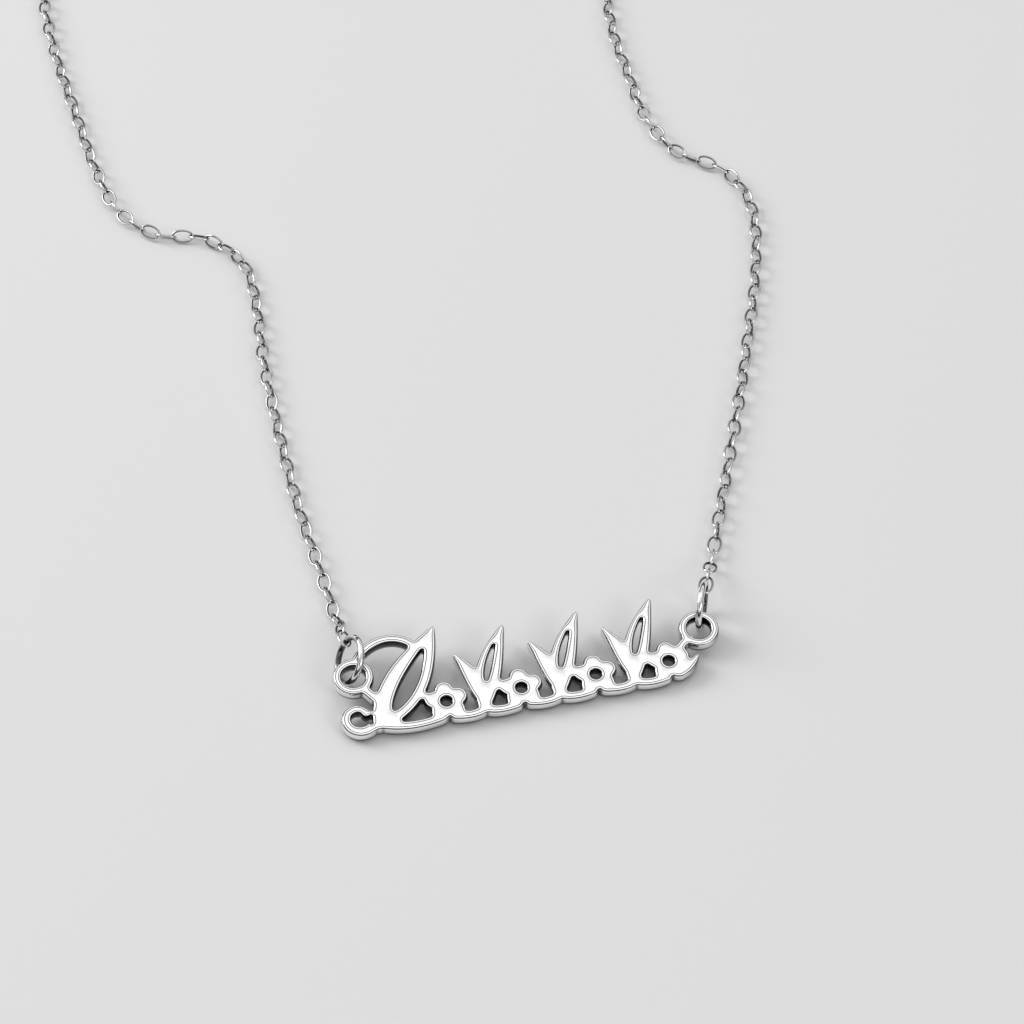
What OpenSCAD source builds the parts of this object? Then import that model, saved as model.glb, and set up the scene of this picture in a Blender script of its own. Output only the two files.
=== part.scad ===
// Nameplate necklace in silver, laid out on a table.
// The pierced front plate lies face up and tilted on its two jump rings. A fine cable chain
// runs from each ring round to one plain clasp at the back, and the whole necklace is a closed loop.
// Origin: the middle of the outline, on the table. X is to the right, and Y runs from plate to clasp.

/* [Plate] */
// Thickness of the silver sheet
plate_t = 1.2; // [0.9:0.1:1.4]
// Turn of the plate on the table, anticlockwise from above
plate_turn = 13; // [10:0.5:16]
// Tilt of the plate, whose upper edge lies on the jump rings
plate_tilt = 9.5; // [9.2:0.1:10.5]
// Rounding of the outer corners
corner_r = 0.2; // [0.1:0.02:0.24]
// Rounding of the inner corners
fillet_r = 0.1; // [0.06:0.02:0.14]

/* [Eyelets and jump rings] */
// Outer diameter of the two eyelets
eyelet_od = 3.8; // [3.6:0.1:4]
// Hole of the two eyelets
eyelet_id = 2.2; // [2:0.05:2.3]
// Outer diameter of the jump rings
ring_od = 4.95; // [4.8:0.05:5.1]
// Wire of the jump rings
ring_wire = 0.6; // [0.5:0.05:0.65]

/* [Chain] */
// Distance from link to link
pitch = 1.7; // [1.65:0.01:1.75]
// Wire of the links
link_wire = 0.25; // [0.22:0.01:0.26]
// Width of a link
link_w = 1.5; // [1.4:0.05:1.6]

/* [Hidden] */

silver = [0.86, 0.86, 0.88];
dark_silver = [0.7, 0.7, 0.73];

// The plate's own zero lies at the middle of its width, and its lowest edge touches the table
plate_low = -4.55;

// Eyelet centres on the plate
eye_left = [-15.8, 1.9];
eye_right = [16.45, 0.5];

function mix(a, b, t) = a + (b - a) * t;
function perp(d) = [-d.y, d.x] / norm(d);

// Point and direction on a cubic curve through four control points
function bez(p, t) =
    let (s = 1 - t)
    s * s * s * p[0] + 3 * s * s * t * p[1] + 3 * s * t * t * p[2] + t * t * t * p[3];
function bez_dir(p, t) =
    let (s = 1 - t)
    s * s * (p[1] - p[0]) + 2 * s * t * (p[2] - p[1]) + t * t * (p[3] - p[2]);

// A stroke that follows a cubic curve; w holds its widths at the start, the middle and the end
module brush(p, w, steps = 10) {
    function side(t, s) =
        let (h = (1 - t) * (1 - t) * w[0] + 2 * t * (1 - t) * w[1] + t * t * w[2])
        bez(p, t) + s * h / 2 * perp(bez_dir(p, t));
    polygon([
        for (i = [0:steps]) side(i / steps, 1),
        for (i = [steps:-1:0]) side(i / steps, -1)
    ]);
    translate(p[0]) circle(d = w[0], $fn = 20);
    translate(p[3]) circle(d = w[2], $fn = 20);
}

// A pointed leaf from its foot to its tip, bowed sideways by bow
module leaf(foot, tip, w, bow = 0.3, steps = 16) {
    side_way = perp(tip - foot);
    bend = (foot + tip) / 2 + bow * side_way;
    function rib(t) = (1 - t) * (1 - t) * foot + 2 * t * (1 - t) * bend + t * t * tip;
    function half(t) = w / 2 * pow(sin(180 * pow(t, 0.8)), 0.85);
    polygon([
        for (i = [0:steps]) rib(i / steps) + half(i / steps) * side_way,
        for (i = [steps - 1:-1:1]) rib(i / steps) - half(i / steps) * side_way
    ]);
}

// A curl whose middle line winds in from radius r0 at angle a0 to radius r1 at angle a1
module curl(centre, r0, r1, a0, a1, w0, w1, steps = 20) {
    function at(t, s) =
        let (a = mix(a0, a1, t), r = mix(r0, r1, t) + s * mix(w0, w1, t) / 2)
        centre + r * [cos(a), sin(a)];
    polygon([
        for (i = [0:steps]) at(i / steps, 1),
        for (i = [steps:-1:0]) at(i / steps, -1)
    ]);
    translate(at(1, 0)) circle(d = w1 * 1.25, $fn = 24);
}

// The flower spray: flowers along the lower edge, with a tall and a short leaf after all but the last
flower_u = [-8.0, -1.0, 6.0, 12.9];
flower_v = -2.3;
petals = 5;
petal_d = 1.86;
petal_at = 1.2;
flower_hole = 0.95;

module flower_at(u) {
    translate([u, flower_v])
        for (k = [0:petals - 1])
            rotate(90 + 360 * k / petals) translate([petal_at, 0]) circle(d = petal_d, $fn = 24);
}

// A tall leaf leans right over the next flower, and a short one leans back over the last
module leaf_pair(u) {
    leaf([u + 3.0, -4.4], [u + 6.95, 4.85], 2.5, 0.8);
    leaf([u + 3.3, -3.7], [u + 1.5, 2.7], 1.75, -1.0);
}

module leaf_vein(u) {
    leaf([u + 3.95, -1.1], [u + 5.8, 3.1], 0.5, 0.3);
}

// The stem hangs in a short bow on each side of a leaf pair
module stem_bows(u) {
    brush([[u + 0.5, -3.9], [u + 1.3, -4.1], [u + 2.5, -4.2], [u + 3.4, -3.7]], [0.9, 0.9, 1], 8);
    brush([[u + 3.4, -3.7], [u + 4.3, -4.2], [u + 5.5, -4.1], [u + 6.4, -3.9]], [1, 0.9, 0.9], 8);
}

// The opening scroll: a broad leaf, a curl below it and a tendril over to the left eyelet
module opening_scroll() {
    leaf([-14.9, -4.0], [-7.4, 5.85], 4.2, -0.6, 20);
    curl([-16.15, -2.4], 1.55, 0.8, -40, -330, 1.15, 0.75);
    brush([[-9.6, 3.9], [-11.2, 6], [-13.9, 5.4], [-15.3, 3.45]], [0.9, 0.95, 0.9]);
    brush([[-13.7, -1.6], [-14.2, -0.8], [-14.6, -0.2], [-15.2, 0.6]], [1, 1, 1], 8);
    brush([[-13.9, -3.6], [-12.2, -4.2], [-10.4, -4.2], [-8.6, -3.8]], [1, 0.95, 0.9], 8);
}

module closing_tail() {
    leaf([13.2, -4.1], [16.0, -1.9], 1.0, -0.35, 10);
    brush([[13.6, -1.5], [14.4, -1.0], [14.9, -0.6], [15.4, 0]], [0.9, 0.9, 0.9], 6);
}

module outline_2d() {
    offset(r = corner_r, $fn = 16) offset(delta = -corner_r)
        offset(r = -fillet_r, $fn = 16) offset(delta = fillet_r) difference() {
            union() {
                for (u = flower_u) flower_at(u);
                for (i = [0:len(flower_u) - 2]) {
                    stem_bows(flower_u[i]);
                    leaf_pair(flower_u[i]);
                }
                opening_scroll();
                closing_tail();
                for (e = [eye_left, eye_right]) translate(e) circle(d = eyelet_od, $fn = 48);
            }
            for (u = flower_u) translate([u, flower_v]) circle(d = flower_hole, $fn = 24);
            for (i = [0:len(flower_u) - 2]) leaf_vein(flower_u[i]);
            leaf([-12.9, -2.3], [-8.9, 3.6], 1.35, -0.35);
        }
}

// A point of the plate, h above its back, in the room
function on_plate(p, h) =
    let (y = p.y * cos(plate_tilt) - h * sin(plate_tilt))
    [
        p.x * cos(plate_turn) - y * sin(plate_turn),
        p.x * sin(plate_turn) + y * cos(plate_turn),
        (p.y - plate_low) * sin(plate_tilt) + h * cos(plate_tilt)
    ];

module scroll_plate() {
    color(silver)
        on_table() rotate([0, 0, plate_turn]) translate([0, 0, -plate_low * sin(plate_tilt)])
            rotate([plate_tilt, 0, 0]) difference() {
                linear_extrude(plate_t) outline_2d();
                for (e = [eye_left, eye_right])
                    translate([e.x, e.y, -1]) cylinder(h = plate_t + 2, d = eyelet_id, $fn = 48);
            }
}

// Jump rings stand in the eyelets with their lowest point on the table.
// facing is the way from the eyelet to the chain, roll how far the ring leans up from lying flat,
// and reach how far the ring's centre stands from the eyelet's
ring_r = (ring_od - ring_wire) / 2;
//            eyelet    facing roll reach
left_ring = [eye_left, 102, -60, 1.85];
right_ring = [eye_right, 80, 88, 2.1];

function ring_centre(ring) =
    let (eye = on_plate(ring[0], plate_t / 2))
    [
        eye.x + ring[3] * cos(ring[1]),
        eye.y + ring[3] * sin(ring[1]),
        ring_r * abs(sin(ring[2])) + ring_wire / 2
    ];

module jump_ring(ring) {
    translate(ring_centre(ring)) rotate([0, 0, ring[1]]) rotate([ring[2], 0, 0])
        rotate_extrude($fn = 72) translate([ring_r, 0]) circle(d = ring_wire, $fn = 32);
}

// The chain lies on the table along a smooth curve through these points, measured from the plate
left_route = [
    [-18.6, 9.6], [-20.2, 15], [-22.1, 21.6], [-24.2, 31], [-25.8, 39.4], [-26.8, 46.6],
    [-28.4, 52.4], [-32.4, 56], [-37.6, 56.8], [-41.6, 60.2], [-44.4, 66.6], [-46.8, 74],
    [-50.6, 87], [-53.2, 102], [-53.6, 117], [-53, 131], [-51.2, 141], [-46.6, 152]
];
right_route = [
    [17.6, 13.6], [18.8, 21], [20.6, 32], [22.1, 42], [23.3, 52], [23.2, 60.6], [20.6, 66],
    [15.8, 68.8], [12.8, 73.8], [11, 80.6], [9.4, 88], [8.4, 102], [8.8, 117], [8.8, 131],
    [6.6, 142], [0.6, 154]
];
clasp_mid = [-26, 161.6];
clasp_turn = 8;
loop_mid = [-15, 78.2];

module on_table() translate([-loop_mid.x, -loop_mid.y, 0]) children();

module ring_left() color(silver) on_table() jump_ring(left_ring);
module ring_right() color(silver) on_table() jump_ring(right_ring);

// A link is an oval of round wire, long enough inside for its two neighbours to hang loose in it
slack = 0.15;
link_in = pitch + slack;
link_arm = (link_w - link_wire) / 2;
link_side = link_in + link_wire - 2 * link_arm;

module link() {
    for (side = [-1, 1]) {
        translate([-link_side / 2, side * link_arm, 0]) rotate([0, 90, 0])
            cylinder(h = link_side, d = link_wire, $fn = 40);
        rotate([0, 0, 90 - 90 * side]) translate([link_side / 2, 0, 0])
            rotate_extrude(angle = 180, start = -90, $fn = 40)
                translate([link_arm, 0]) circle(d = link_wire, $fn = 40);
    }
}

// Smooth curve through the points of a route
steps_per_span = 12;
function span_point(p, k, t) =
    let (
        a = p[max(k - 1, 0)],
        b = p[k],
        c = p[k + 1],
        d = p[min(k + 2, len(p) - 1)]
    )
    b + t / 2 * (c - a) + t * t * (a - 2.5 * b + 2 * c - d / 2) + t * t * t * (1.5 * (b - c) + (d - a) / 2);
function curve(p) = [
    for (k = [0:len(p) - 2], j = [0:steps_per_span - 1]) span_point(p, k, j / steps_per_span),
    p[len(p) - 1]
];

// Rows of [length so far, point], and the same curve with its start raised to the jump ring
drop_run = 5;
function with_lengths(q) = [
    for (i = 0, s = 0; i < len(q); i = i + 1, s = s + (i < len(q) ? norm(q[i] - q[i - 1]) : 0)) [s, q[i]]
];
function raised(rows, top) = [
    for (row = rows) [row[1].x, row[1].y, top * (1 + cos(180 * min(row[0] / drop_run, 1))) / 2]
];

// Links lie leaning either way on the table, and wander about that as they go.
// They settle into it from the jump ring, and out of it before the clasp
rest_lean = 45;
settle = 14;
wander = 22;
wander_turns = 6;
function ease(t) = (1 - cos(180 * min(max(t, 0), 1))) / 2;
function nearest(a, to, turn) = a + turn * round((to - a) / turn);
// A sloping link's end dips below its middle by this much
lift = 0.03;

module cable_chain(route, ring) {
    first_roll = ring[2] + 90;
    top = ring_centre(ring).z - height(first_roll);
    track = with_lengths(raised(with_lengths(curve(route)), top));
    total = track[len(track) - 1][0];
    gaps = ceil(total / pitch);
    rest_roll = nearest(rest_lean, first_roll, 90);
    last_roll = nearest(90 - 90 * gaps, rest_roll, 180);
    axes = [for (k = [0:2]) [for (row = track) [row[0], row[1][k]]]];
    function lean(s) =
        rest_roll + (first_roll - rest_roll) * ease(1 - s / settle)
        + (last_roll - rest_roll) * ease(1 - (total - s) / settle)
        + wander * sin(360 * wander_turns * s / total);
    function height(a) = lift + link_wire / 2 + link_arm * max(abs(sin(a)), abs(cos(a)));
    function spot(s) = [lookup(s, axes[0]), lookup(s, axes[1]), lookup(s, axes[2]) + height(lean(s))];
    for (i = [0:gaps]) {
        s = total * i / gaps;
        d = spot(s + pitch / 4) - spot(s - pitch / 4);
        translate(spot(s))
            rotate([0, -atan2(d.z, norm([d.x, d.y])), atan2(d.y, d.x)])
                rotate([lean(s) + 90 * i, 0, 0]) link();
    }
}

// The first link hangs on the far side of the jump ring, the last one in an eye of the clasp
hang = link_in / 2 - ring_wire / 2 - slack;
function first_link(ring) =
    let (c = ring_centre(ring))
    [c.x, c.y] + (ring_r + hang) * [cos(ring[1]), sin(ring[1])];

// The plain clasp: a body with a drilled tab at each end
clasp_l = 6.4;
clasp_w = 3.2;
clasp_h = 1.5;
tab_t = 0.5;
tab_neck = 0.4;
tab_d = 2;
tab_hole = 0.9;
tab_at = clasp_l / 2 + 0.7;

// The last link's end lies in the tab's hole, and the chain leaves the clasp in its direction
link_end = link_in / 2 + link_wire / 2;
lead = 8;
function from_clasp(d) = clasp_mid + d * [cos(clasp_turn), sin(clasp_turn)];
function clasp_end(side) = [
    from_clasp(side * (tab_at + link_end + lead)),
    from_clasp(side * (tab_at + link_end))
];

module clasp() {
    color(dark_silver) on_table() translate(clasp_mid) rotate([0, 0, clasp_turn])
        difference() {
            union() {
                for (side = [-1, 1]) {
                    translate([side * (clasp_l - clasp_w) / 2, 0, 0]) cylinder(h = clasp_h, d = clasp_w, $fn = 48);
                    translate([side * tab_at, 0, (clasp_h - tab_t) / 2]) cylinder(h = tab_t, d = tab_d, $fn = 40);
                }
                translate([0, 0, clasp_h / 2]) cube([clasp_l - clasp_w, clasp_w, clasp_h], center = true);
                translate([0, 0, clasp_h / 2]) cube([2 * tab_at, tab_d / 2, tab_neck], center = true);
            }
            for (side = [-1, 1])
                translate([side * tab_at, 0, -1]) cylinder(h = clasp_h + 2, d = tab_hole, $fn = 32);
        }
}

module chain_left()
    color(silver) on_table()
        cable_chain(concat([first_link(left_ring)], left_route, clasp_end(-1)), left_ring);
module chain_right()
    color(silver) on_table()
        cable_chain(concat([first_link(right_ring)], right_route, clasp_end(1)), right_ring);

scroll_plate();
ring_left();
ring_right();
chain_left();
chain_right();
clasp();
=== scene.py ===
from math import atan2, ceil, cos, degrees, hypot, pi, radians, sin

import bmesh
import bpy
from mathutils import Matrix, Vector
from mathutils.kdtree import KDTree


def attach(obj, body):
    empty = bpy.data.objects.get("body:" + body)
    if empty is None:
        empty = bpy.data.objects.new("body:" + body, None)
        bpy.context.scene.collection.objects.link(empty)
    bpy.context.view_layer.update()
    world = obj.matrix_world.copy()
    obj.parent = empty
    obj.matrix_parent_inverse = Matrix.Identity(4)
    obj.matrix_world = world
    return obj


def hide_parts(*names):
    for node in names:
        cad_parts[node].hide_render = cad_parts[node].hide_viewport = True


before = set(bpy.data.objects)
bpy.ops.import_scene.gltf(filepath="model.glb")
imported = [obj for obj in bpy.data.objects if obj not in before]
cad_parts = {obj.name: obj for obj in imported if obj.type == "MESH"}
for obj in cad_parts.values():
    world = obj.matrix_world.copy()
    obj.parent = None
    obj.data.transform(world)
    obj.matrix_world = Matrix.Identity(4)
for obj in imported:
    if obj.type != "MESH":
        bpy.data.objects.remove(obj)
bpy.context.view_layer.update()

scene = bpy.context.scene
mm = 0.001

# Camera
# A long lens looks down on the plate from in front of it, so that the front rim of the plate,
# the faces of the jump rings and the first bends of the chain all show.
lens = bpy.data.cameras.new("camera")
lens.lens = 135
lens.sensor_width = 36
lens.clip_start = 0.02
lens.clip_end = 20
camera = bpy.data.objects.new("camera", lens)
camera.location = Vector((13.716, -298.732, 276.588)) * mm
camera.rotation_euler = (radians(41), 0, 0)
scene.collection.objects.link(camera)
scene.camera = camera

# Studio
# A plain pale table under one broad soft light, which the plate's face mirrors, with a lower
# light from the side for the shadows. The room is dim above a bright band at eye level, so that
# polished edges show dark lines beside bright ones.
scene.view_settings.view_transform = "Standard"
room = bpy.data.worlds.new("studio room")
room.use_nodes = True
walls = room.node_tree
above = walls.nodes.new("ShaderNodeTexCoord")
height = walls.nodes.new("ShaderNodeSeparateXYZ")
bands = walls.nodes.new("ShaderNodeValToRGB")
walls.links.new(above.outputs["Generated"], height.inputs[0])
walls.links.new(height.outputs["Z"], bands.inputs[0])
walls.links.new(bands.outputs[0], walls.nodes["Background"].inputs["Color"])
stops = bands.color_ramp.elements
for at, grey in ((0.0, 0.02), (0.38, 0.03), (0.43, 0.9), (0.64, 0.9), (0.7, 0.07), (1.0, 0.07)):
    stop = stops[0] if at == 0 else stops[1] if at == 1 else stops.new(at)
    stop.color = (grey, grey, grey, 1)
scene.world = room


def soft_light(name, place, aim, size, power):
    panel = bpy.data.lights.new(name, "AREA")
    panel.shape = "RECTANGLE"
    panel.size, panel.size_y = size
    panel.energy = power
    lamp = bpy.data.objects.new(name, panel)
    lamp.location = place
    lamp.rotation_euler = (Vector(aim) - Vector(place)).to_track_quat("-Z", "Y").to_euler()
    scene.collection.objects.link(lamp)


soft_light("overhead softbox", (0.07, 0.27, 0.84), (0.01, -0.07, 0), (0.9, 0.72), 0.76)
soft_light("side softbox", (-0.75, 0.25, 0.5), (0, -0.03, 0), (0.45, 0.6), 5.2)
soft_light("front fill", (0.6, -0.6, 0.5), (0, -0.05, 0), (0.35, 0.35), 1.2)

table_mesh = bpy.data.meshes.new("table")
bm = bmesh.new()
bmesh.ops.create_grid(bm, x_segments=1, y_segments=1, size=2)
bm.to_mesh(table_mesh)
bm.free()
table = bpy.data.objects.new("table", table_mesh)
scene.collection.objects.link(table)
pale = bpy.data.materials.new("pale table")
pale.use_nodes = True
pale_look = pale.node_tree.nodes["Principled BSDF"]
pale_look.inputs["Base Color"].default_value = (0.76, 0.76, 0.76, 1)
pale_look.inputs["Roughness"].default_value = 0.85
table_mesh.materials.append(pale)

# Silver finish
# Every piece is polished silver that has been worn: hairline scratches that cross each other,
# a faint haze from handling, and a shallow unevenness that the polishing wheel leaves. Where a
# mesh attribute goes down, its colour is darkened as painted shade.
worn = bpy.data.node_groups.new("worn silver", "ShaderNodeTree")
for label, start in (("Wear", 0.5), ("Haze", 0.5)):
    worn.interface.new_socket(label, in_out="INPUT", socket_type="NodeSocketFloat").default_value = start
for label in ("Clean", "Dulled"):
    worn.interface.new_socket(label, in_out="INPUT", socket_type="NodeSocketColor")
for label, kind in (("Tint", "Color"), ("Roughness", "Float"), ("Height", "Float")):
    worn.interface.new_socket(label, in_out="OUTPUT", socket_type="NodeSocket" + kind)


def add(tree, kind, inputs=None, **settings):
    node = tree.nodes.new(kind)
    for key, value in settings.items():
        setattr(node, key, value)
    for key, value in (inputs or {}).items():
        if isinstance(value, bpy.types.NodeSocket):
            tree.links.new(value, node.inputs[key])
        else:
            node.inputs[key].default_value = value
    return node


def maths(tree, operation, *terms):
    return add(tree, "ShaderNodeMath", dict(enumerate(terms)), operation=operation).outputs[0]


def multiplied(tree, colour, factor):
    return add(tree, "ShaderNodeMix", {"Factor": 1.0, 6: colour, 7: factor}, data_type="RGBA",
               blend_type="MULTIPLY").outputs[2]


into = add(worn, "NodeGroupInput").outputs
out = add(worn, "NodeGroupOutput").inputs
where = add(worn, "ShaderNodeTexCoord").outputs["Object"]
scratches = 0.0
for turn, stretch, seed in ((20, 60, 0), (75, 45, 7), (-40, 70, 13)):
    laid = add(worn, "ShaderNodeMapping", {"Vector": where, "Rotation": (0, 0, radians(turn)),
                                           "Location": (seed, seed, 0), "Scale": (1, stretch, 20)})
    streak = add(worn, "ShaderNodeTexNoise", {"Vector": laid.outputs[0], "Scale": 400.0, "Detail": 2.0,
                                              "Roughness": 0.6})
    thin = add(worn, "ShaderNodeMapRange", {"Value": streak.outputs[0], "From Min": 0.6, "From Max": 0.7})
    scratches = maths(worn, "MAXIMUM", thin.outputs[0], scratches)
smudge = add(worn, "ShaderNodeTexNoise", {"Vector": where, "Scale": 260.0, "Detail": 4.0, "Roughness": 0.55})
haze = add(worn, "ShaderNodeMapRange", {"Value": smudge.outputs[0], "From Min": 0.35, "From Max": 0.75})
hazed = maths(worn, "MULTIPLY", haze.outputs[0], into["Haze"])
scored = maths(worn, "MULTIPLY", scratches, into["Wear"])
rough = maths(worn, "MULTIPLY_ADD", scored, 0.14, maths(worn, "MULTIPLY_ADD", hazed, 0.12, 0.07))
tint = add(worn, "ShaderNodeMix", {"Factor": hazed, 6: into["Clean"], 7: into["Dulled"]}, data_type="RGBA")
wave = add(worn, "ShaderNodeTexNoise", {"Vector": where, "Scale": 420.0, "Detail": 1.0})
relief = maths(worn, "MULTIPLY_ADD", scored, -0.08, maths(worn, "MULTIPLY", wave.outputs[0], 0.35))
for label, value in (("Tint", tint.outputs[2]), ("Roughness", rough), ("Height", relief)):
    worn.links.new(value, out[label])


def silver(name, bright, wear, haze_amount, bump, part=None, painted_shade_tone=1.0):
    """Worn silver, with painted shade where the named attribute of the mesh goes down to nothing"""
    made = bpy.data.materials.new(name)
    made.use_nodes = True
    tree = made.node_tree
    look = tree.nodes["Principled BSDF"]
    look.inputs["Metallic"].default_value = 1.0
    finish = add(tree, "ShaderNodeGroup", node_tree=worn)
    finish.inputs["Wear"].default_value = wear
    finish.inputs["Haze"].default_value = haze_amount
    finish.inputs["Clean"].default_value = (bright, bright, bright * 0.995, 1)
    finish.inputs["Dulled"].default_value = (bright * 0.9, bright * 0.9, bright * 0.89, 1)
    relief = add(tree, "ShaderNodeBump", {"Height": finish.outputs["Height"], "Strength": bump,
                                          "Distance": 0.1 * mm})
    shade = finish.outputs["Tint"]
    # Painted shade: the base colour is multiplied down by the attribute
    if part:
        reach = add(tree, "ShaderNodeAttribute", attribute_name=part)
        tone = add(tree, "ShaderNodeMapRange", {"Value": reach.outputs["Fac"], "To Min": painted_shade_tone})
        shade = multiplied(tree, shade, tone.outputs[0])
    tree.links.new(shade, look.inputs["Base Color"])
    tree.links.new(finish.outputs["Roughness"], look.inputs["Roughness"])
    tree.links.new(relief.outputs[0], look.inputs["Normal"])
    return made


# Front plate
# Silver sheet pierced with flowers and leaves, with an eyelet at each end for its jump ring. It
# is sawn out, rolled at its rim outside a fine groove painted dark as a painted reflection, and
# polished. Its walls are painted dark as shade, with a painted highlight on the outer wall where it
# faces the lower left, as if lit from there.
plate_turn, plate_tilt = 13, 9.5
plate_low, plate_t = -4.55, 1.2
outline_step, most_cuts, smoothings = 0.1, 40, 6
same_point, same_bend = 0.002, 0.03
FACE, ROLL, WALL, PAINTED_LINE = range(4)
# From the line about the face outwards and down: how steep each strip of the edge is in degrees,
# how wide it is, and its finish. The edge is widest after the first seven
rim_strips = ((4, 0.1, ROLL), (22, 0.03, ROLL), (38, 0.05, PAINTED_LINE), (50, 0.05, WALL), (56, 0.05, WALL),
              (80, 0.28, WALL), (88, 0.24, WALL), (98, 0.08, WALL), (102, 0.33, WALL), (125, 0.11, WALL),
              (155, 0.11, WALL))
widest = 7
# The fine groove inside the roll, whose strips are painted dark as a painted reflection
line_width, line_depth = 0.08, 0.012
far_wall, sharpest_notch = 1.3, -1.2
painted_light_from = (-0.45, -0.9, 0)
lie = Matrix.Rotation(radians(plate_turn), 3, "Z") @ Matrix.Rotation(radians(plate_tilt), 3, "X")
face_up = lie @ Vector((0, 0, 1))


def around(items):
    """Each item of a closed loop with the next one"""
    return zip(items, items[1:] + items[:1])


def outlines(bm):
    """The closed loops of an outline, each in order, with the side of it that the metal is on and
    whether it is the outer one"""
    loops, left = [], dict.fromkeys(bm.verts)
    while left:
        loop, onward = [], [next(iter(left))]
        while onward:
            loop.append(onward[0])
            del left[onward[0]]
            onward = [e.other_vert(loop[-1]) for e in loop[-1].link_edges if e.other_vert(loop[-1]) in left]
        loops.append(loop)
    areas = [sum(v.co.cross(w.co).dot(face_up) for v, w in around(loop)) for loop in loops]
    outer = max(areas, key=abs)
    return [(loop, 1 if (area > 0) == (area == outer) else -1, area == outer) for loop, area in zip(loops, areas)]


def inwards(loop, metal):
    """The way into the metal at each point of a loop, and how sharply the loop turns there"""
    ways, turns = [], []
    for i, v in enumerate(loop):
        come, go = v.co - loop[i - 1].co, loop[(i + 1) % len(loop)].co - v.co
        ways.append(face_up.cross(come + go).normalized() * metal)
        bend = come.normalized().cross(go.normalized()).dot(face_up) * metal
        turns.append(2 * bend / (come.length + go.length))
    return ways, turns


def evened(values, times):
    """The values along a loop, each shared with its neighbours a few times"""
    for k in range(times):
        before, after = values[-1:] + values[:-1], values[1:] + values[:1]
        values = [v / 2 + b / 4 + a / 4 for v, b, a in zip(values, before, after)]
    return values


def rim_edges(bm, loop):
    return [bm.edges.get(pair) for pair in around(loop)]


def next_strip(bm, loop, metal, share, across, up, material):
    """Extrudes a strip from a loop, with its far side moved in over the metal and up"""
    made = bmesh.ops.extrude_edge_only(bm, edges=rim_edges(bm, loop))["geom"]
    for f in (g for g in made if isinstance(g, bmesh.types.BMFace)):
        f.material_index, f.smooth = material, True
    born = {g for g in made if isinstance(g, bmesh.types.BMVert)}
    new = [next(e.other_vert(v) for e in v.link_edges if e.other_vert(v) in born) for v in loop]
    ways, turns = inwards(loop, metal)
    spots = [v.co + way * across * part + face_up * up for v, way, part in zip(loop, ways, share)]
    for v, spot, before, after in zip(new, spots, spots[-1:] + spots[:-1], spots[1:] + spots[:1]):
        v.co = spot * 0.8 + (before + after) * 0.1
    return new


plate_mesh = bpy.data.meshes.new("front_plate")
bm = bmesh.new()
bm.from_mesh(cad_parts["scroll_plate"].data)
bmesh.ops.scale(bm, vec=(1 / mm, 1 / mm, 1 / mm), verts=bm.verts)
bmesh.ops.remove_doubles(bm, verts=bm.verts, dist=same_point)
bm.normal_update()
# The outline of the face alone, in short even steps, with the burrs of the saw smoothed away
bmesh.ops.delete(bm, geom=[f for f in bm.faces if f.normal.dot(face_up) < 0.99], context="FACES")
bmesh.ops.delete(bm, geom=[e for e in bm.edges if not e.is_boundary], context="EDGES_FACES")
bmesh.ops.remove_doubles(bm, verts=bm.verts, dist=same_bend)
for cuts in range(1, most_cuts):
    long = [e for e in bm.edges if int(e.calc_length() / outline_step) == cuts]
    if long:
        bmesh.ops.subdivide_edges(bm, edges=long, cuts=cuts)
for k in range(smoothings):
    bmesh.ops.smooth_vert(bm, verts=bm.verts, factor=0.5, use_axis_x=True, use_axis_y=True, use_axis_z=True)
# From its widest line the edge goes up and in over the front to the line about the face, and
# down to the back. It keeps narrower where the metal is thin or its outline is sharp
rise = [width * sin(radians(steep)) for steep, width, finish in rim_strips]
reach_in = [width * cos(radians(steep)) for steep, width, finish in rim_strips]
whole_rim = sum(reach_in[:widest]) + line_width
bmesh.ops.translate(bm, verts=bm.verts, vec=-sum(rise[:widest]) * face_up)
painted_wall_light = bm.verts.layers.float.new("painted_wall_light")
across_all = KDTree(len(bm.verts))
for i, v in enumerate(bm.verts):
    across_all.insert(v.co, i)
across_all.balance()
# Painted light on the walls: the outer wall is painted lighter where it faces the lower left, as if lit from there,
# and the rest is left to the painted shade
painted_light_way = (lie @ Vector(painted_light_from)).normalized()
front, back = [], []
for loop, metal, outer in outlines(bm):
    ways, turns = inwards(loop, metal)
    share, painted_light_share = [], []
    for v, way, turn in zip(loop, ways, turns):
        facing_walls = (d for co, i, d in across_all.find_range(v.co, far_wall) if (co - v.co).dot(way) > 0.8 * d > 0)
        gap = min(facing_walls, default=far_wall)
        share.append(min(1, 0.38 * gap / whole_rim, 0.75 / max(turn, 0.001) / whole_rim))
        facing = -way.dot(painted_light_way)
        painted_light_share.append(min(max(2 * facing - 0.2, -0.6 * facing, 0), 1) if outer and turn > sharpest_notch else 0)
    share, painted_light_share = evened(share, 4), evened(painted_light_share, 3)
    for v, part in zip(loop, painted_light_share):
        v[painted_wall_light] = part
    top = under = loop
    for k in reversed(range(widest)):
        top = next_strip(bm, top, metal, share, reach_in[k], rise[k], rim_strips[k][2])
    for up in (-line_depth, line_depth):
        top = next_strip(bm, top, metal, share, line_width / 2, up, PAINTED_LINE)
    for k in range(widest, len(rise)):
        under = next_strip(bm, under, metal, share, -reach_in[k], -rise[k], rim_strips[k][2])
        # The walls below the widest line get no painted highlight, only the painted shade
        for v in under:
            v[painted_wall_light] = 0
    front += rim_edges(bm, top)
    back += rim_edges(bm, under)
for rim, way in ((front, 1), (back, -1)):
    bmesh.ops.triangle_fill(bm, use_beauty=True, use_dissolve=False, edges=rim, normal=face_up * way)
bmesh.ops.recalc_face_normals(bm, faces=bm.faces)
bmesh.ops.scale(bm, vec=(mm, mm, mm), verts=bm.verts)
bm.to_mesh(plate_mesh)
bm.free()
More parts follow.
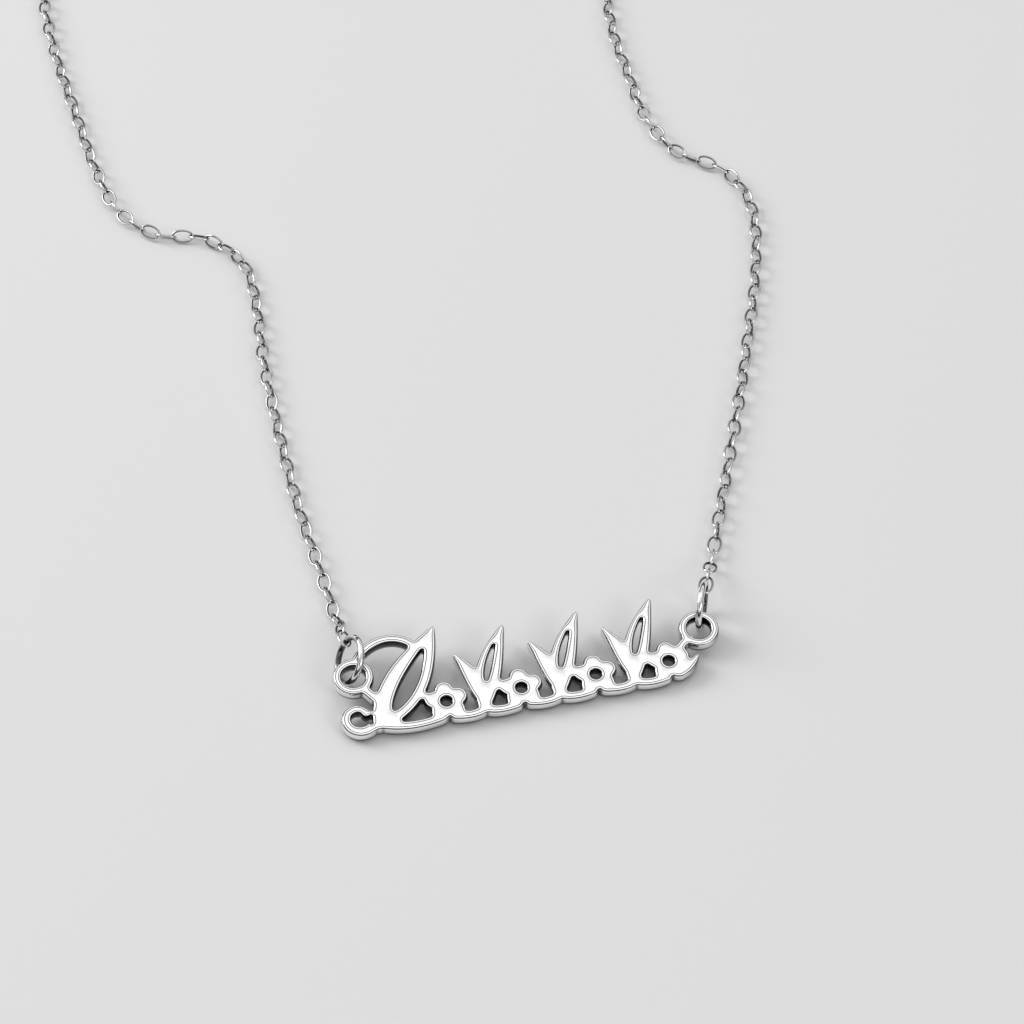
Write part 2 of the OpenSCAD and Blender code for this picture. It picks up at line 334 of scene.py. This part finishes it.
plate_mesh.set_sharp_from_angle(angle=radians(50))
plate = bpy.data.objects.new("front_plate", plate_mesh)
scene.collection.objects.link(plate)
plate_mesh.materials.append(silver("plate face", 0.95, 0.5, 0.5, 0.25))
plate_mesh.materials.append(silver("plate rolled edge", 0.88, 0.2, 0.3, 0.1))
# The cut walls are painted down to 0.13 of their tone as shade, except for the painted highlight on the outer wall
# facing the lower left
plate_mesh.materials.append(silver("plate cut wall", 0.9, 0.7, 0.3, 0.2, "painted_wall_light", 0.13))
# Near-black silver on the fine groove and its strip, a painted reflection of the dim room along the rim
plate_mesh.materials.append(silver("plate rim line", 0.12, 0.2, 0.3, 0.1))
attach(plate, "root")
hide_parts("scroll_plate")

# Jump rings
# Each is a turn of round wire, closed through the plate's eyelet and the first link of its
# chain. Its two ends butt together in a hairline joint.
loop_mid = Vector((-15, 78.2, 0))
ring_od, ring_wire = 4.95, 0.6
ring_r = (ring_od - ring_wire) / 2


def on_plate(u, v, h):
    """A point of the plate, h above its back, in mm"""
    return lie @ Vector((u, v, h)) - Vector((0, 0, plate_low * sin(radians(plate_tilt)))) - loop_mid


def ring_place(eyelet, facing, roll, reach):
    eye = on_plate(*eyelet, plate_t / 2)
    return Vector((eye.x + reach * cos(radians(facing)), eye.y + reach * sin(radians(facing)),
                   ring_r * abs(sin(radians(roll))) + ring_wire / 2))


# The middle of each ring's eyelet, the way that it lies, its roll, how far its middle is from the
# eyelet's, and where its joint is
rings = {"left": ((-15.8, 1.9), 102, -60, 1.85), "right": ((16.45, 0.5), 80, 88, 2.1)}
joint_at = {"left": -60, "right": -50}
joint_depth, joint_half, joint_pull = 0.93, 0.6, 0.85
# The ring's wire is painted down to a fifth of its tone on its inner side, as shade
ring_silver = silver("jump ring wire", 0.85, 0.5, 0.4, 0.3, "painted_inner_shade", 0.2)
for side, (eyelet, facing, roll, reach) in rings.items():
    ring_mesh = bpy.data.meshes.new("jump_ring_" + side)
    bm = bmesh.new()
    bmesh.ops.create_circle(bm, segments=20, radius=ring_wire / 2,
                            matrix=Matrix.Translation((ring_r, 0, 0)) @ Matrix.Rotation(pi / 2, 4, "X"))
    bmesh.ops.rotate(bm, verts=bm.verts, cent=(0, 0, 0), matrix=Matrix.Rotation(radians(joint_at[side]), 3, "Z"))
    bmesh.ops.spin(bm, geom=bm.verts[:] + bm.edges[:], cent=(0, 0, 0), axis=(0, 0, 1), angle=2 * pi,
                   steps=90, use_merge=True)
    bmesh.ops.remove_doubles(bm, verts=bm.verts, dist=0.0001)
    # Painted shade: the wire is darker towards the inside of the ring
    painted_inner_shade = bm.verts.layers.float.new("painted_inner_shade")
    for v in bm.verts:
        v[painted_inner_shade] = min(max(0.6 + (hypot(v.co.x, v.co.y) - ring_r) / ring_wire * 2.4, 0), 1)
    # The joint: close loops about the first section, drawn in to a fine groove
    first = Vector((cos(radians(joint_at[side])), sin(radians(joint_at[side])), 0))
    for v in bm.verts:
        flat = Vector((v.co.x, v.co.y, 0)).normalized()
        turned = degrees(atan2(first.cross(flat).z, first.dot(flat)))
        if abs(turned) < 1:
            core = flat * ring_r
            v.co = core + (v.co - core) * joint_depth
        elif abs(turned) < 5:
            nearer = (joint_half - abs(turned)) * (1 if turned > 0 else -1) * joint_pull
            v.co = Matrix.Rotation(radians(nearer), 3, "Z") @ v.co
    bmesh.ops.recalc_face_normals(bm, faces=bm.faces)
    place = (Matrix.Translation(ring_place(eyelet, facing, roll, reach)) @ Matrix.Rotation(radians(facing), 4, "Z")
             @ Matrix.Rotation(radians(roll), 4, "X"))
    bmesh.ops.transform(bm, matrix=place, verts=bm.verts)
    bmesh.ops.scale(bm, vec=(mm, mm, mm), verts=bm.verts)
    for f in bm.faces:
        f.smooth = True
    bm.to_mesh(ring_mesh)
    bm.free()
    ring = bpy.data.objects.new("jump_ring_" + side, ring_mesh)
    scene.collection.objects.link(ring)
    ring_mesh.materials.append(ring_silver)
    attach(ring, "root")
    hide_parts("ring_" + side)

# Cable chain
# Oval links of fine round wire, each soldered at one end and turned a quarter on the last, run
# from each jump ring to the clasp. The chain lies loose, so its links lean one way and the other.
# Their wire is painted darker on its inner side as shade.
pitch, link_wire, link_w, slack = 1.7, 0.25, 1.5, 0.15
link_in = pitch + slack
link_arm = (link_w - link_wire) / 2
link_side = link_in + link_wire - 2 * link_arm
drop_run = 5
rest_lean, settle, wander, wander_turns, lift = 45, 14, 22, 6, 0.03
clasp_mid, clasp_turn, clasp_l = Vector((-26, 161.6)), 8, 6.4
tab_at = clasp_l / 2 + 0.7
link_end, lead = link_in / 2 + link_wire / 2, 8
look_ahead = pitch / 4
# How much rounding the coarse link draws its wire and its arms in, and how square its ends are
wire_drawn, arm_drawn, end_curve = 0.86, 0.975, 0.75
routes = {
    "left": (-1, [(-18.6, 9.6), (-20.2, 15), (-22.1, 21.6), (-24.2, 31), (-25.8, 39.4), (-26.8, 46.6), (-28.4, 52.4),
                  (-32.4, 56), (-37.6, 56.8), (-41.6, 60.2), (-44.4, 66.6), (-46.8, 74), (-50.6, 87), (-53.2, 102),
                  (-53.6, 117), (-53, 131), (-51.2, 141), (-46.6, 152)]),
    "right": (1, [(17.6, 13.6), (18.8, 21), (20.6, 32), (22.1, 42), (23.3, 52), (23.2, 60.6), (20.6, 66), (15.8, 68.8),
                  (12.8, 73.8), (11, 80.6), (9.4, 88), (8.4, 102), (8.8, 117), (8.8, 131), (6.6, 142), (0.6, 154)]),
}


def smooth_route(points, steps=12):
    """Points along a curve that passes through each given point"""
    line = []
    for k in range(len(points) - 1):
        a, b, c, d = points[max(k - 1, 0)], points[k], points[k + 1], points[min(k + 2, len(points) - 1)]
        for j in range(steps):
            t = j / steps
            line.append(b + t / 2 * (c - a) + t * t * (a - 2.5 * b + 2 * c - d / 2)
                        + t ** 3 * (1.5 * (b - c) + (d - a) / 2))
    return line + [points[-1]]


def ease(t):
    return (1 - cos(pi * min(max(t, 0), 1))) / 2


def nearest(a, to, turn):
    return a + turn * round((to - a) / turn)


def lengths(line):
    total, made = 0, [0]
    for p, q in zip(line, line[1:]):
        total += (q - p).length
        made.append(total)
    return made


# One link: a ring of wire pulled out into an oval, duller where it is soldered
link_mesh = bpy.data.meshes.new("link")
bm = bmesh.new()
bmesh.ops.create_circle(bm, segments=6, radius=link_wire / 2 / wire_drawn,
                        matrix=Matrix.Translation((0, link_arm / arm_drawn, 0)) @ Matrix.Rotation(pi / 2, 4, "Y"))
bmesh.ops.spin(bm, geom=bm.verts[:] + bm.edges[:], cent=(0, 0, 0), axis=(0, 0, 1), angle=2 * pi,
               steps=14, use_merge=True)
bmesh.ops.remove_doubles(bm, verts=bm.verts, dist=0.0001)
bmesh.ops.recalc_face_normals(bm, faces=bm.faces)
solder = bm.verts.layers.float.new("solder")
painted_inner_shade = bm.verts.layers.float.new("painted_inner_shade")
# Painted shade: the wire is darker towards the inside of the link
for v in bm.verts:
    along = v.co.x / hypot(v.co.x, v.co.y)
    v[painted_inner_shade] = min(max(0.6 + (hypot(v.co.x, v.co.y) - link_arm) / link_wire * 2, 0), 1)
    v[solder] = 1.0 if along > 0.95 else 0.0
    v.co.x += link_side / 2 * (1 if along > 0 else -1) * abs(along) ** end_curve
for f in bm.faces:
    f.smooth = True
bm.to_mesh(link_mesh)
bm.free()

# The chain's wire is painted down to 0.12 of its tone on the inner side of each link, as shade
chain_silver = silver("chain wire", 0.78, 0.4, 0.5, 0.3, "painted_inner_shade", 0.12)
tree = chain_silver.node_tree
look, finish = tree.nodes["Principled BSDF"], tree.nodes["Group"]
link_tone = add(tree, "ShaderNodeAttribute", attribute_name="link tone")
soldered = add(tree, "ShaderNodeAttribute", attribute_name="solder")
toned = add(tree, "ShaderNodeMapRange", {"Value": link_tone.outputs["Fac"], "To Min": 0.84})
shade = multiplied(tree, look.inputs["Base Color"].links[0].from_socket, toned.outputs[0])
dulled = maths(tree, "MULTIPLY_ADD", soldered.outputs["Fac"], 0.12, finish.outputs["Roughness"])
tree.links.new(shade, look.inputs["Base Color"])
tree.links.new(dulled, look.inputs["Roughness"])
for side, (way, middle) in routes.items():
    eyelet, facing, roll, reach = rings[side]
    centre = ring_place(eyelet, facing, roll, reach) + loop_mid
    hang = ring_r + link_in / 2 - ring_wire / 2 - slack
    start = Vector((centre.x + hang * cos(radians(facing)), centre.y + hang * sin(radians(facing))))
    ahead = Vector((cos(radians(clasp_turn)), sin(radians(clasp_turn))))
    ends = [clasp_mid + way * d * ahead for d in (tab_at + link_end + lead, tab_at + link_end)]
    plan = smooth_route([start] + [Vector(p) for p in middle] + ends)
    first_roll = roll + 90
    rest_roll = nearest(rest_lean, first_roll, 90)

    def clear_height(a):
        return lift + link_wire / 2 + link_arm * max(abs(sin(radians(a))), abs(cos(radians(a))))

    top = centre.z - clear_height(first_roll)
    track = [Vector((p.x, p.y, top * (1 + cos(pi * min(s / drop_run, 1))) / 2))
             for p, s in zip(plan, lengths(plan))]
    at = lengths(track)
    total = at[-1]
    gaps = ceil(total / pitch)
    last_roll = nearest(90 - 90 * gaps, rest_roll, 180)

    def lean(s):
        return (rest_roll + (first_roll - rest_roll) * ease(1 - s / settle)
                + (last_roll - rest_roll) * ease(1 - (total - s) / settle)
                + wander * sin(2 * pi * wander_turns * s / total))

    def spot(s):
        s = min(max(s, 0), total)
        k = max(i for i in range(len(at) - 1) if at[i] <= s)
        p = track[k].lerp(track[k + 1], (s - at[k]) / (at[k + 1] - at[k]))
        return p + Vector((0, 0, clear_height(lean(s))))

    chain_mesh = bpy.data.meshes.new("cable_chain_" + side)
    bm = bmesh.new()
    tone = bm.verts.layers.float.new("link tone")
    for i in range(gaps + 1):
        s = total * i / gaps
        d = spot(s + look_ahead) - spot(s - look_ahead)
        place = (Matrix.Translation(spot(s) - loop_mid) @ Matrix.Rotation(atan2(d.y, d.x), 4, "Z")
                 @ Matrix.Rotation(-atan2(d.z, hypot(d.x, d.y)), 4, "Y")
                 @ Matrix.Rotation(radians(lean(s) + 90 * i), 4, "X"))
        had = len(bm.verts)
        bm.from_mesh(link_mesh)
        bm.verts.ensure_lookup_table()
        new = bm.verts[had:]
        bmesh.ops.transform(bm, matrix=place, verts=new)
        for v in new:
            v[tone] = (i * 0.618 + 0.13 * way) % 1
    bmesh.ops.scale(bm, vec=(mm, mm, mm), verts=bm.verts)
    bm.to_mesh(chain_mesh)
    bm.free()
    chain = bpy.data.objects.new("cable_chain_" + side, chain_mesh)
    scene.collection.objects.link(chain)
    rounded = chain.modifiers.new("round wire", "SUBSURF")
    rounded.levels = rounded.render_levels = 1
    chain_mesh.materials.append(chain_silver)
    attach(chain, "root")
    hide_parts("chain_" + side)

# Clasp
# A plain silver body with a drilled tab at each end, which holds the last link of each chain.
# Its edges are eased and it is polished as the plate is.
clasp_mesh = bpy.data.meshes.new("clasp_body")
bm = bmesh.new()
bm.from_mesh(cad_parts["clasp"].data)
bmesh.ops.scale(bm, vec=(1 / mm, 1 / mm, 1 / mm), verts=bm.verts)
bmesh.ops.remove_doubles(bm, verts=bm.verts, dist=same_point)
bmesh.ops.dissolve_limit(bm, angle_limit=radians(1), verts=bm.verts, edges=bm.edges)
bmesh.ops.scale(bm, vec=(mm, mm, mm), verts=bm.verts)
for f in bm.faces:
    f.smooth = True
bm.to_mesh(clasp_mesh)
bm.free()
clasp = bpy.data.objects.new("clasp_body", clasp_mesh)
scene.collection.objects.link(clasp)
eased = clasp.modifiers.new("eased edges", "BEVEL")
eased.width = 0.12 * mm
eased.segments = 3
eased.limit_method = "ANGLE"
eased.angle_limit = radians(40)
clasp_mesh.materials.append(silver("clasp polish", 0.85, 0.6, 0.5, 0.3))
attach(clasp, "root")
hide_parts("clasp")
